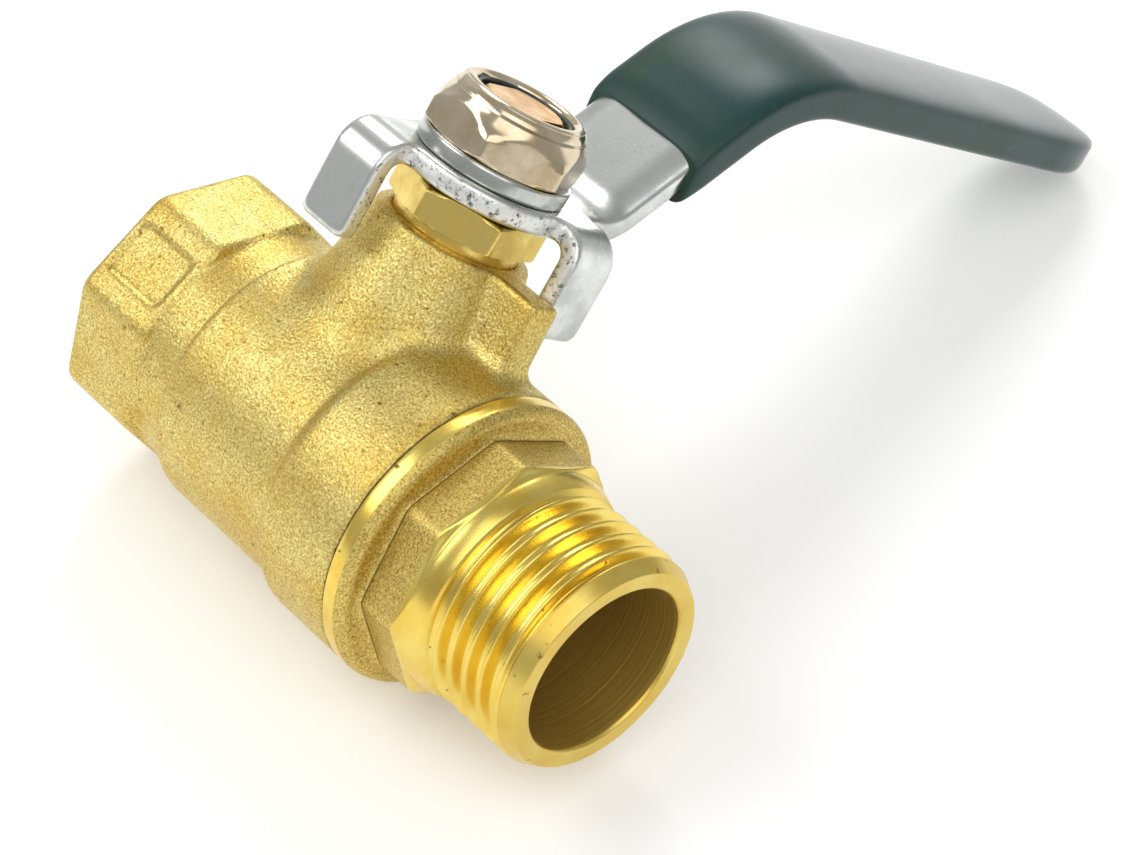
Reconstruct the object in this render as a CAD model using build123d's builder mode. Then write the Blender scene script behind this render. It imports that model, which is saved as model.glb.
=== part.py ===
from build123d import *
import os
from math import acos, asin, cos, degrees, radians, sin, sqrt, tan

# Two-piece brass ball valve, female by male 1/2 inch pipe thread, with a steel lever.
# Millimetres. Origin: centre of the female socket's mouth, on the pipe axis.
# X runs along the pipe towards the male end, Z runs up the stem. The lever lies along +Y: closed.

# Clearances
running_gap = 0.05
seat_gap = 0.15
stop_gap = 0.2
face_gap = 0.05
cavity_gap = 0.4
tang_gap = 0.2
collar_gap = 0.35
spigot_gap = 1.0
lever_gap = 0.4

# Pipe threads, as ring ridges at the thread's own diameters and pitch
thread_major_d = 20.955
thread_minor_d = 18.631
thread_pitch = 1.814
thread_land = 0.36
socket_depth = 10.6
male_thread_length = 10.85

# Ball, seats and waterway
ball_d = 22.0
port_d = 14.0
port_step = 0.2
waterway_step = 0.5
seat_step = 0.3
seat_face = 1.1404
seat_length = 3.2
inlet_web = 1.8
outlet_bore_d = 16.0
outlet_bore_depth = 13.5

# Outside of the body
socket_flats = 24.0
socket_length = 9.0
socket_corner = 0.9
socket_chamfer = 0.7
neck_length = 4.4
shoulder_step = 1.2
barrel_wall = 1.55
barrel_round = 1.1
barrel_reach = 4.9
ramp_length = 2.2
chest_length = 7.95
chest_wall = 1.8
spigot_wall = 1.45
panel_length = 6.8
panel_width = 5.0
panel_depth = 0.3

# Stem boss and stop lug
box_depth = 6.5
boss_wall = 1.25
boss_draft = 11.0
boss_foot = 7.5
lug_width = 3.4
lug_over = 1.1
lug_draft = 1.5
lug_corner = 0.8

# End adapter
flange_length = 2.55
flange_round = 0.5
wrench_length = 4.05
wrench_step = 0.7725
wrench_turn = 26.8
bevel_length = 0.5
bevel_fall = 0.98
land_length = 1.5
land_fall = 0.45
relief_length = 0.3
relief_depth = 0.75
end_chamfer = 0.85

# Stem, packing and gland
stem_d = 8.8
stud_d = 8.0
stud_flats = 6.0
stud_sink = 0.45
stud_chamfer = 0.5
tang_thickness = 3.6
tang_width = 8.4
tang_depth = 2.7
collar_step = 1.3
collar_height = 1.2
thrust_height = 0.6
web_height = 1.0
packing_width = 1.55
packing_height = 3.0
gland_step = 0.15
gland_turn = 35.0
gland_lift = 0.9
gland_height = 3.0
gland_chamfer = 0.5

# Lever
sheet = 2.0
hub_d = 16.0
ear_width = 5.4
ear_clear = 2.0
ear_drop = 7.7
ear_corner = 1.6
bend_inside = 1.2
strap_width = 12.4
strap_depth = 2.6
strap_clear = 0.76
strap_round = 1.5
foot_run = 2.8
foot_bend = 5.0
rise_angle = 49.0
strap_rise = 17.3
knee_bend = 17.0
lever_length = 82.4
tip_round = 5.2
channel_width = 8.4
channel_depth = 0.6

# Vinyl grip
vinyl = 0.9
grip_start = 8.6
grip_edge = 0.8

# Washer and locking nut
washer_d = 14.0
washer_height = 1.6
nut_flats = 12.9
nut_turn = 55.5
nut_hex_height = 3.9
nut_height = 5.2
crown_step = 0.35
crown_wall = 0.9
crown_round = 1.0
rim_gap = 0.4
rim_lip = 0.5
insert_height = 1.9

# Across the pipe, worked out from the ball outwards
ball_r = ball_d / 2
cavity_r = ball_r + cavity_gap
seat_d = ball_d - 2 * seat_step
seat_bore_d = port_d + 2 * port_step
waterway_d = port_d + 2 * waterway_step
seat_face_r = ball_r + seat_gap
seat_start = sqrt(seat_face_r**2 - (seat_bore_d / 2 + seat_face) ** 2)
seat_end = seat_start + seat_length
barrel_d = 2 * (cavity_r + barrel_wall)
neck_d = barrel_d - 2 * shoulder_step
joint_thread_d = seat_d + 2 * spigot_wall
chest_d = joint_thread_d + 2 * chest_wall
wrench_flats = thread_major_d + 2 * wrench_step
wrench_r = wrench_flats / 2 / cos(radians(22.5))
land_r = wrench_r - bevel_fall
relief_d = thread_major_d - 2 * relief_depth

# Along the pipe, from the socket's mouth to the male end
stem_x = socket_depth + inlet_web + seat_end
neck_end = socket_length + neck_length
barrel_end = stem_x + barrel_reach
ramp_end = barrel_end + ramp_length
body_end = ramp_end + chest_length
flange_end = body_end + flange_length
wrench_end = flange_end + wrench_length
bevel_end = wrench_end + bevel_length
land_end = bevel_end + land_length
thread_start = land_end + relief_length
valve_length = thread_start + male_thread_length

# Up the stem, from the ball to the nut
collar_d = stem_d + 2 * collar_step
collar_bottom = ball_r + collar_gap
recess_top = collar_bottom + collar_height + running_gap + thrust_height
box_floor = recess_top + web_height
box_d = stem_d + 2 * packing_width
boss_top_d = box_d + 2 * boss_wall
boss_height = box_floor + box_depth
gland_flats = box_d + 2 * gland_step
gland_r = gland_flats / 2 / cos(radians(30))
gland_bottom = boss_height + gland_lift
plate_bottom = gland_bottom + gland_height + lever_gap
plate_top = plate_bottom + sheet
nut_base = plate_top + washer_height
nut_top = nut_base + nut_height
stud_top = nut_top - stud_sink
nut_crown_d = nut_flats - 2 * crown_step
insert_d = nut_crown_d - 2 * crown_wall
rim_d = stud_d + 2 * rim_gap
insert_base = nut_top - rim_lip - insert_height

# Lever outline
ear_near = lug_width / 2 + stop_gap
ear_reach = boss_top_d / 2 + ear_clear + sheet
ear_bottom = plate_bottom - ear_drop
bend_outside = bend_inside + sheet
ear_start = ear_reach - bend_outside
lug_reach = ear_reach + lug_over
strap_start = gland_r + strap_clear
rise_start = strap_start + foot_run
strap_top = plate_top + strap_rise
half_turn = radians(rise_angle) / 2


def ring(part_label, outer_d, inner_d, bottom, height):
    """A flat ring about the stem axis."""
    with BuildPart() as flat_ring:
        with BuildSketch(Plane((stem_x, 0, bottom))):
            Circle(outer_d / 2)
            Circle(inner_d / 2, mode=Mode.SUBTRACT)
        extrude(amount=height)
    flat_ring.part.label = part_label
    return flat_ring.part


def seat_ring(part_label, side):
    """A seat with a hollow face that fits the ball; side is -1 for the inlet, +1 for the outlet."""
    lip_angle = degrees(asin(seat_bore_d / 2 / seat_face_r))
    rim_angle = degrees(acos(seat_start / seat_face_r))
    with BuildPart() as seat:
        with BuildSketch(Plane.XY):
            with BuildLine():
                first_angle = lip_angle if side > 0 else 180 - lip_angle
                hollow = CenterArc((stem_x, 0), seat_face_r, first_angle, side * (rim_angle - lip_angle))
                Polyline(
                    hollow @ 1,
                    (stem_x + side * seat_start, seat_d / 2),
                    (stem_x + side * seat_end, seat_d / 2),
                    (stem_x + side * seat_end, seat_bore_d / 2),
                    hollow @ 0,
                )
            make_face()
        revolve(axis=Axis.X)
    seat.part.label = part_label
    return seat.part


def thread_line(start, length, land_radius, groove_radius):
    """Points along a wall of ring ridges: V grooves one pitch apart, with narrow lands between them."""
    half_opening = (thread_pitch - thread_land) / 2
    points = []
    for turn in range(int(length / thread_pitch)):
        middle = start + (turn + 0.5) * thread_pitch
        points.append((middle - half_opening, land_radius))
        points.append((middle, groove_radius))
        points.append((middle + half_opening, land_radius))
    return points


def strap_corners(drop):
    """Foot and knee of the line that runs `drop` below the strap's top face."""
    shift = drop * tan(half_turn)
    rise = (strap_top - plate_top) / tan(radians(rise_angle))
    return (rise_start + shift, plate_top - drop), (rise_start + shift + rise, strap_top - drop)


def strap_line(drop, start_y, end_y):
    """One edge of the strap seen from the side: level, up the rise, then level again."""
    foot, knee = strap_corners(drop)
    points = [(start_y, plate_top - drop), foot, knee, (end_y, strap_top - drop)]
    return FilletPolyline(*points, radius=[foot_bend + drop, knee_bend - drop])


def grip_line(drop, end_y):
    """One edge of the grip seen from the side: from its square start on the rise to the tip."""
    foot, knee = strap_corners(drop)
    top_foot = strap_corners(0)[0]
    slope = radians(rise_angle)
    start_y = top_foot[0] + grip_start * cos(slope) + drop * sin(slope)
    start_z = top_foot[1] + grip_start * sin(slope) - drop * cos(slope)
    return FilletPolyline((start_y, start_z), knee, (end_y, strap_top - drop), radius=knee_bend - drop)


# Body: octagonal socket, neck, barrel and chest
with BuildPart() as valve_body:
    with BuildSketch(Plane.YZ) as socket_outline:
        RegularPolygon(socket_flats / 2, 8, major_radius=False)
        fillet(socket_outline.vertices(), socket_corner)
    extrude(amount=socket_length)
    chamfer(valve_body.faces().sort_by(Axis.X)[0].edges(), socket_chamfer)
    chamfer(valve_body.faces().sort_by(Axis.X)[-1].edges(), socket_chamfer)
    with BuildSketch(Plane.XY) as barrel_profile:
        with BuildLine():
            Polyline(
                (socket_chamfer, 0),
                (socket_chamfer, neck_d / 2),
                (neck_end, neck_d / 2),
                (neck_end, barrel_d / 2),
                (barrel_end, barrel_d / 2),
                (ramp_end, chest_d / 2),
                (body_end, chest_d / 2),
                (body_end, 0),
                close=True,
            )
        make_face()
        shoulder = barrel_profile.vertices().group_by(Axis.X)[1].sort_by(Axis.Y)[-1]
        fillet(shoulder, barrel_round)
    revolve(axis=Axis.X)
    # Drafted round boss and the stop lug on its outlet side
    foot_r = boss_top_d / 2 + (boss_height - boss_foot) * tan(radians(boss_draft))
    with BuildSketch(Plane((stem_x, 0, boss_foot))):
        Circle(foot_r)
    extrude(amount=boss_height - boss_foot, taper=boss_draft)
    lug_grow = (boss_height - boss_foot) * tan(radians(lug_draft))
    with BuildSketch(Plane((stem_x, 0, boss_foot))) as lug_outline:
        with Locations(((lug_reach + lug_grow) / 2, 0)):
            Rectangle(lug_reach + lug_grow, lug_width + 2 * lug_grow)
        fillet(lug_outline.vertices().group_by(Axis.X)[-1], lug_corner)
    extrude(amount=boss_height - boss_foot, taper=lug_draft)
    # Waterway, ball chamber and the thread that takes the adapter
    with BuildSketch(Plane.XY):
        with BuildLine():
            Polyline(
                (0, 0),
                (0, thread_minor_d / 2),
                *thread_line(0, socket_depth, thread_minor_d / 2, thread_major_d / 2),
                (socket_depth, thread_minor_d / 2),
                (socket_depth, waterway_d / 2),
                (stem_x - seat_end, waterway_d / 2),
                (stem_x - seat_end, seat_d / 2),
                (stem_x - seat_start - face_gap, seat_d / 2),
                (stem_x - seat_start - face_gap, cavity_r),
                (stem_x + seat_start, cavity_r),
                (stem_x + seat_start, joint_thread_d / 2),
                (body_end, joint_thread_d / 2),
                (body_end, 0),
                close=True,
            )
        make_face()
    revolve(axis=Axis.X, mode=Mode.SUBTRACT)
    # Stem passage: collar recess from inside, shaft hole, stuffing box from outside
    with BuildSketch(Plane((stem_x, 0, boss_foot))):
        Circle(collar_d / 2 + running_gap)
    extrude(amount=recess_top - boss_foot, mode=Mode.SUBTRACT)
    with BuildSketch(Plane((stem_x, 0, recess_top))):
        Circle(stem_d / 2 + running_gap)
    extrude(amount=web_height, mode=Mode.SUBTRACT)
    with BuildSketch(Plane((stem_x, 0, box_floor))):
        Circle(box_d / 2)
    extrude(amount=boss_height - box_floor, mode=Mode.SUBTRACT)
    # Bare marking panel sunk in one flat of the socket
    flat_angle = radians(157.5)
    flat_out = (0, cos(flat_angle), sin(flat_angle))
    flat_mid = Vector(socket_length / 2, 0, 0) + Vector(flat_out) * (socket_flats / 2)
    with BuildSketch(Plane(flat_mid, x_dir=(1, 0, 0), z_dir=flat_out)):
        RectangleRounded(panel_length, panel_width, panel_depth * 2)
    extrude(amount=-panel_depth, mode=Mode.SUBTRACT)
valve_body.part.label = "valve_body"

# End adapter: threaded spigot, flange, octagon for the wrench, turned land, male thread
with BuildPart() as end_adapter:
    with BuildSketch(Plane.YZ.offset(flange_end)):
        RegularPolygon(wrench_flats / 2, 8, major_radius=False, rotation=wrench_turn)
    extrude(amount=bevel_end - flange_end)
    with BuildSketch(Plane.XY):
        with BuildLine():
            Polyline(
                (flange_end, 0),
                (flange_end, wrench_r),
                (wrench_end, wrench_r),
                (bevel_end, land_r),
                (bevel_end, 0),
                close=True,
            )
        make_face()
    revolve(axis=Axis.X, mode=Mode.INTERSECT)
    with BuildSketch(Plane.XY) as turned_profile:
        with BuildLine():
            Polyline(
                (stem_x + seat_start + spigot_gap, 0),
                (stem_x + seat_start + spigot_gap, joint_thread_d / 2 - running_gap),
                (body_end, joint_thread_d / 2 - running_gap),
                (body_end, chest_d / 2),
                (flange_end, chest_d / 2),
                (flange_end, relief_d / 2),
                (bevel_end, relief_d / 2),
                (bevel_end, land_r),
                (land_end, land_r - land_fall),
                (land_end, relief_d / 2),
                (thread_start, relief_d / 2),
                (thread_start, thread_major_d / 2),
                *thread_line(
                    thread_start,
                    male_thread_length - end_chamfer,
                    thread_major_d / 2,
                    thread_minor_d / 2,
                ),
                (valve_length - end_chamfer, thread_major_d / 2),
                (valve_length, thread_major_d / 2 - end_chamfer),
                (valve_length, 0),
                close=True,
            )
        make_face()
        rim = turned_profile.vertices().sort_by(Axis.Y).group_by(Axis.Y)[-1].sort_by(Axis.X)[-1]
        fillet(rim, flange_round)
    revolve(axis=Axis.X)
    with BuildSketch(Plane.XY):
        with BuildLine():
            Polyline(
                (stem_x, 0),
                (stem_x, seat_d / 2),
                (stem_x + seat_end, seat_d / 2),
                (stem_x + seat_end, waterway_d / 2),
                (valve_length - outlet_bore_depth, waterway_d / 2),
                (valve_length - outlet_bore_depth, outlet_bore_d / 2),
                (valve_length, outlet_bore_d / 2),
                (valve_length, 0),
                close=True,
            )
        make_face()
    revolve(axis=Axis.X, mode=Mode.SUBTRACT)
end_adapter.part.label = "end_adapter"

# Ball: bored through along the lever, slotted across its top for the stem
with BuildPart() as ball:
    with Locations((stem_x, 0, 0)):
        Sphere(ball_r)
    with BuildSketch(Plane((stem_x, 0, 0), x_dir=(1, 0, 0), z_dir=(0, 1, 0))):
        Circle(port_d / 2)
    extrude(amount=ball_r, both=True, mode=Mode.SUBTRACT)
    with BuildSketch(Plane((stem_x, 0, ball_r))):
        Rectangle(ball_d, tang_thickness + 2 * tang_gap)
    extrude(amount=-tang_depth, mode=Mode.SUBTRACT)
ball.part.label = "ball"

# Stem: tang, blow-out collar, shank and double-flat threaded stud
with BuildPart() as stem:
    tang_bottom = ball_r - tang_depth + tang_gap
    with BuildSketch(Plane((stem_x, 0, tang_bottom))):
        Rectangle(tang_width, tang_thickness)
    extrude(amount=collar_bottom - tang_bottom)
    with BuildSketch(Plane((stem_x, 0, collar_bottom))):
        Circle(collar_d / 2)
    extrude(amount=collar_height)
    with BuildSketch(Plane((stem_x, 0, collar_bottom))):
        Circle(stem_d / 2)
    extrude(amount=plate_bottom - collar_bottom)
    with BuildSketch(Plane((stem_x, 0, plate_bottom))):
        Circle(stud_d / 2)
        Rectangle(stud_flats, stud_d, mode=Mode.INTERSECT)
    extrude(amount=stud_top - plate_bottom)
    chamfer(stem.faces().sort_by(Axis.Z)[-1].edges().filter_by(GeomType.CIRCLE), stud_chamfer)
stem.part.label = "stem"

# Gland nut: hexagon with turned corners over a threaded sleeve
with BuildPart() as gland_nut:
    with BuildSketch(Plane((stem_x, 0, gland_bottom))):
        RegularPolygon(gland_flats / 2, 6, major_radius=False, rotation=gland_turn)
    extrude(amount=gland_height)
    with BuildSketch(Plane((stem_x, 0, gland_bottom), x_dir=(1, 0, 0), z_dir=(0, -1, 0))):
        with BuildLine():
            Polyline(
                (0, 0),
                (gland_r, 0),
                (gland_r, gland_height - gland_chamfer),
                (gland_flats / 2, gland_height),
                (0, gland_height),
                close=True,
            )
        make_face()
    revolve(axis=Axis((stem_x, 0, 0), (0, 0, 1)), mode=Mode.INTERSECT)
    sleeve_bottom = box_floor + packing_height
    with BuildSketch(Plane((stem_x, 0, sleeve_bottom))):
        Circle(box_d / 2 - running_gap)
    extrude(amount=gland_bottom - sleeve_bottom)
    with BuildSketch(Plane((stem_x, 0, sleeve_bottom))):
        Circle(stem_d / 2 + running_gap)
    extrude(amount=gland_bottom + gland_height - sleeve_bottom, mode=Mode.SUBTRACT)
gland_nut.part.label = "gland_nut"

# Lever: strap bent up and outwards, shallow channel under it, hub plate, two stop ears
side_view = Plane((stem_x, 0, 0), x_dir=(0, 1, 0), z_dir=(1, 0, 0))
with BuildPart() as lever:
    with BuildSketch(side_view):
        with BuildLine():
            top_edge = strap_line(0, strap_start, lever_length)
            low_edge = strap_line(strap_depth, strap_start, lever_length)
            Line(top_edge @ 0, low_edge @ 0)
            Line(top_edge @ 1, low_edge @ 1)
        make_face()
    extrude(amount=strap_width / 2, both=True)
    fillet(lever.edges().filter_by(Axis.Z).group_by(Axis.Y)[-1], tip_round)
    strap_tops = lever.faces().filter_by(lambda f: f.normal_at().Z > 0.1)
    strap_rims = strap_tops.edges().filter_by(Axis.X, reverse=True)
    fillet(strap_rims + strap_tops.edges().group_by(Axis.Y)[-1], strap_round)
    with BuildSketch(side_view):
        with BuildLine():
            roof_edge = strap_line(strap_depth - channel_depth, strap_start, lever_length - tip_round)
            floor_edge = strap_line(strap_depth, strap_start, lever_length - tip_round)
            Line(roof_edge @ 0, floor_edge @ 0)
            Line(roof_edge @ 1, floor_edge @ 1)
        make_face()
    extrude(amount=channel_width / 2, both=True, mode=Mode.SUBTRACT)
    with BuildSketch(Plane((stem_x, 0, plate_bottom))) as plate_outline:
        Circle(hub_d / 2)
        with Locations((0, (strap_start + sheet) / 2)):
            Rectangle(strap_width, strap_start + sheet)
        with Locations((-ear_near - ear_width / 2, -ear_start / 2)):
            Rectangle(ear_width, ear_start)
        with Locations((ear_start / 2, ear_near + ear_width / 2)):
            Rectangle(ear_start, ear_width)
    extrude(amount=sheet)
    for outward, across in (((0, -1, 0), 1), ((1, 0, 0), -1)):
        sideways = Vector(outward).cross(Vector(0, 0, 1))
        ear_plane = Plane((stem_x, 0, 0), x_dir=outward, z_dir=sideways).offset(across * ear_near)
        with BuildSketch(ear_plane):
            with BuildLine():
                bend_z = plate_top - bend_outside
                outer_bend = CenterArc((ear_start, bend_z), bend_outside, 0, 90)
                inner_bend = CenterArc((ear_start, bend_z), bend_inside, 0, 90)
                Line(outer_bend @ 1, inner_bend @ 1)
                Polyline(
                    outer_bend @ 0,
                    (ear_reach, ear_bottom),
                    (ear_reach - sheet, ear_bottom),
                    inner_bend @ 0,
                )
            make_face()
        extrude(amount=across * ear_width)
    ear_tips = lever.edges().group_by(Axis.Z)[0]
    fillet(ear_tips.filter_by(Axis.Y).sort_by(Axis.Y)[:2], ear_corner)
    fillet(lever.edges().group_by(Axis.Z)[0].filter_by(Axis.X).sort_by(Axis.X)[-2:], ear_corner)
    with BuildSketch(Plane((stem_x, 0, plate_bottom))):
        Circle(stud_d / 2 + running_gap)
        Rectangle(stud_flats + 2 * running_gap, stud_d + 2 * running_gap, mode=Mode.INTERSECT)
    extrude(amount=sheet, mode=Mode.SUBTRACT)
lever.part.label = "lever"

# Grip: dipped vinyl that covers the strap all round from the rise to the tip
with BuildPart() as grip_sleeve:
    with BuildSketch(side_view):
        with BuildLine():
            skin_top = grip_line(-vinyl, lever_length + vinyl)
            skin_low = grip_line(strap_depth + vinyl, lever_length + vinyl)
            Line(skin_top @ 0, skin_low @ 0)
            Line(skin_top @ 1, skin_low @ 1)
        make_face()
    extrude(amount=strap_width / 2 + vinyl, both=True)
    fillet(grip_sleeve.edges().filter_by(Axis.Z).group_by(Axis.Y)[-1], tip_round + vinyl)
    skin_tops = grip_sleeve.faces().filter_by(lambda f: f.normal_at().Z > 0.1)
    skin_rims = skin_tops.edges().filter_by(Axis.X, reverse=True)
    fillet(skin_rims + skin_tops.edges().group_by(Axis.Y)[-1], strap_round + vinyl)
    skin_lows = grip_sleeve.faces().filter_by(lambda f: f.normal_at().Z < -0.1 and f.normal_at().Y > -0.1)
    low_rims = skin_lows.edges().filter_by(Axis.X, reverse=True)
    fillet(low_rims + skin_lows.edges().group_by(Axis.Y)[-1], grip_edge)
    add(lever.part, mode=Mode.SUBTRACT)
grip_sleeve.part.label = "grip_sleeve"

# Locking nut: hexagon with turned corners, crown that holds the insert under a rolled lip
with BuildPart() as lock_nut:
    with BuildSketch(Plane((stem_x, 0, nut_base))):
        RegularPolygon(nut_flats / 2, 6, major_radius=False, rotation=nut_turn)
    extrude(amount=nut_height)
    nut_r = nut_flats / 2 / cos(radians(30))
    corner_fall = (nut_r - nut_crown_d / 2) * tan(radians(30))
    with BuildSketch(Plane((stem_x, 0, nut_base), x_dir=(1, 0, 0), z_dir=(0, -1, 0))) as nut_profile:
        with BuildLine():
            Polyline(
                (0, 0),
                (nut_r - corner_fall, 0),
                (nut_r, corner_fall / 2),
                (nut_r, nut_hex_height - corner_fall),
                (nut_crown_d / 2, nut_hex_height),
                (nut_crown_d / 2, nut_height),
                (0, nut_height),
                close=True,
            )
        make_face()
        shoulder = nut_profile.vertices().group_by(Axis.Z)[-1].sort_by(Axis.X)[-1]
        fillet(shoulder, crown_round)
    revolve(axis=Axis((stem_x, 0, 0), (0, 0, 1)), mode=Mode.INTERSECT)
    with BuildSketch(Plane((stem_x, 0, nut_base))):
        Circle(stud_d / 2 + running_gap)
    extrude(amount=nut_height, mode=Mode.SUBTRACT)
    with BuildSketch(Plane((stem_x, 0, insert_base))):
        Circle(insert_d / 2)
    extrude(amount=insert_height, mode=Mode.SUBTRACT)
    with BuildSketch(Plane((stem_x, 0, nut_top))):
        Circle(rim_d / 2)
    extrude(amount=-rim_lip, mode=Mode.SUBTRACT)
lock_nut.part.label = "lock_nut"

# Rings about the pipe and the stem
seat_ring_inlet = seat_ring("seat_ring_inlet", -1)
seat_ring_outlet = seat_ring("seat_ring_outlet", 1)
stem_hole_d = stem_d + 2 * running_gap
stud_hole_d = stud_d + 2 * running_gap
thrust_washer = ring("thrust_washer", collar_d, stem_hole_d, recess_top - thrust_height, thrust_height)
packing_ring = ring("packing_ring", box_d, stem_hole_d, box_floor, packing_height)
lever_washer = ring("lever_washer", washer_d, stud_hole_d, plate_top, washer_height)
lock_nut_insert = ring("lock_nut_insert", insert_d, stud_hole_d, insert_base, insert_height)

os.makedirs("parts", exist_ok=True)
export_step(valve_body.part, "parts/valve_body.step")
export_step(end_adapter.part, "parts/end_adapter.step")
export_step(ball.part, "parts/ball.step")
export_step(seat_ring_inlet, "parts/seat_ring_inlet.step")
export_step(seat_ring_outlet, "parts/seat_ring_outlet.step")
export_step(stem.part, "parts/stem.step")
export_step(thrust_washer, "parts/thrust_washer.step")
export_step(packing_ring, "parts/packing_ring.step")
export_step(gland_nut.part, "parts/gland_nut.step")
export_step(lever.part, "parts/lever.step")
export_step(grip_sleeve.part, "parts/grip_sleeve.step")
export_step(lever_washer, "parts/lever_washer.step")
export_step(lock_nut.part, "parts/lock_nut.step")
export_step(lock_nut_insert, "parts/lock_nut_insert.step")
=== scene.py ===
import bmesh
import bpy
import numpy as np
from mathutils import Matrix


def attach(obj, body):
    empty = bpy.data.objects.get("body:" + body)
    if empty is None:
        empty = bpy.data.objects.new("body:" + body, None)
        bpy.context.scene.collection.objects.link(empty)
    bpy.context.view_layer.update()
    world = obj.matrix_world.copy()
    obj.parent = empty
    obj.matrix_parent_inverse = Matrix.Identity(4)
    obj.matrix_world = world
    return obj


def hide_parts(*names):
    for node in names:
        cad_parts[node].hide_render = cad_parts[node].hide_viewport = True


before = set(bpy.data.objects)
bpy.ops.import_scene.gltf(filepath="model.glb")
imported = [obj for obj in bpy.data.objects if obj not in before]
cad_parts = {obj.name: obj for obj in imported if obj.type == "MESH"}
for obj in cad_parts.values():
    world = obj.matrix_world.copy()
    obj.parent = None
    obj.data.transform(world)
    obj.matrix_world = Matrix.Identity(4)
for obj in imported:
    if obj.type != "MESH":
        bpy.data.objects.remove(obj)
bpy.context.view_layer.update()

# A half-inch brass ball valve lying on a white table, resting on its flange and its lever's tip.
# Shapes are worked out in millimetres in the CAD frame and stored in metres.
MM = 0.001
STEM_X = 23.0
# Points round the axis of every turned or many-sided piece
COLUMNS = 288
ANGLE = np.linspace(0, 2 * np.pi, COLUMNS, endpoint=False)[None, :]


# Mesh helpers


def quad_grid(rows, columns, wrap_rows=False):
    """Quads between neighbours of a rows by columns grid whose columns close on themselves."""
    top = rows if wrap_rows else rows - 1
    r, c = np.meshgrid(np.arange(top), np.arange(columns), indexing="ij")
    r2, c2 = (r + 1) % rows, (c + 1) % columns
    corners = [r * columns + c, r * columns + c2, r2 * columns + c2, r2 * columns + c]
    return np.stack(corners, axis=-1).reshape(-1, 4)


def outward(points, quads):
    """Quads wound so that the shell's volume, summed over its faces from their corners, is positive."""
    a, b, c, d = (points[quads[:, i]] for i in range(4))
    volume = (np.cross(c - a, d - b) * (a + b + c + d)).sum()
    return quads if volume > 0 else quads[:, ::-1]


def make_piece(name, points, quads, material, body, nodes=(), marks=None, weld=False):
    """Mesh object at the origin from points in millimetres and quads, riding on a body.

    marks are named numbers per vertex that the material reads; weld merges points that coincide.
    """
    quads = outward(points, quads)
    mesh = bpy.data.meshes.new(name)
    mesh.vertices.add(len(points))
    mesh.vertices.foreach_set("co", np.ascontiguousarray(points * MM, dtype=np.float32).ravel())
    mesh.loops.add(quads.size)
    mesh.loops.foreach_set("vertex_index", quads.astype(np.int32).ravel())
    mesh.polygons.add(len(quads))
    mesh.polygons.foreach_set("loop_start", np.arange(0, quads.size, 4, dtype=np.int32))
    mesh.update(calc_edges=True)
    for key, values in (marks or {}).items():
        layer = mesh.attributes.new(key, "FLOAT", "POINT")
        layer.data.foreach_set("value", np.asarray(values, dtype=np.float32).ravel())
    if weld:
        shell = bmesh.new()
        shell.from_mesh(mesh)
        bmesh.ops.remove_doubles(shell, verts=shell.verts, dist=1e-7)
        shell.to_mesh(mesh)
        shell.free()
    mesh.shade_smooth()
    mesh.materials.append(material)
    piece = bpy.data.objects.new(name, mesh)
    bpy.context.scene.collection.objects.link(piece)
    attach(piece, body)
    if nodes:
        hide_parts(*nodes)


def soft_min(a, b, blend):
    """Lower of two fields, rounded off by a parabola where they differ by less than blend."""
    near = np.clip(blend - np.abs(a - b), 0, None)
    return np.minimum(a, b) - near * near / (4 * blend)


def soft_max(a, b, blend):
    """Higher of two fields, rounded off in the same way."""
    return -soft_min(-a, -b, blend)


def settle(field, points, step):
    """Step along the field's slope that takes points onto its zero level, no longer than half a cell.

    The slope is read from the field a little way to both sides along each axis.
    """
    reach, flattest = 0.02, 0.05
    here = field(*points.T)
    slope = np.stack([
        (field(*(points + reach * axis).T) - field(*(points - reach * axis).T)) / (2 * reach)
        for axis in np.eye(3)
    ], axis=1)
    size = np.maximum((slope * slope).sum(axis=1), flattest)
    move = here[:, None] * slope / size[:, None]
    length = np.linalg.norm(move, axis=1, keepdims=True)
    return move * np.minimum(1, 0.5 * step / np.maximum(length, 1e-9))


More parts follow.
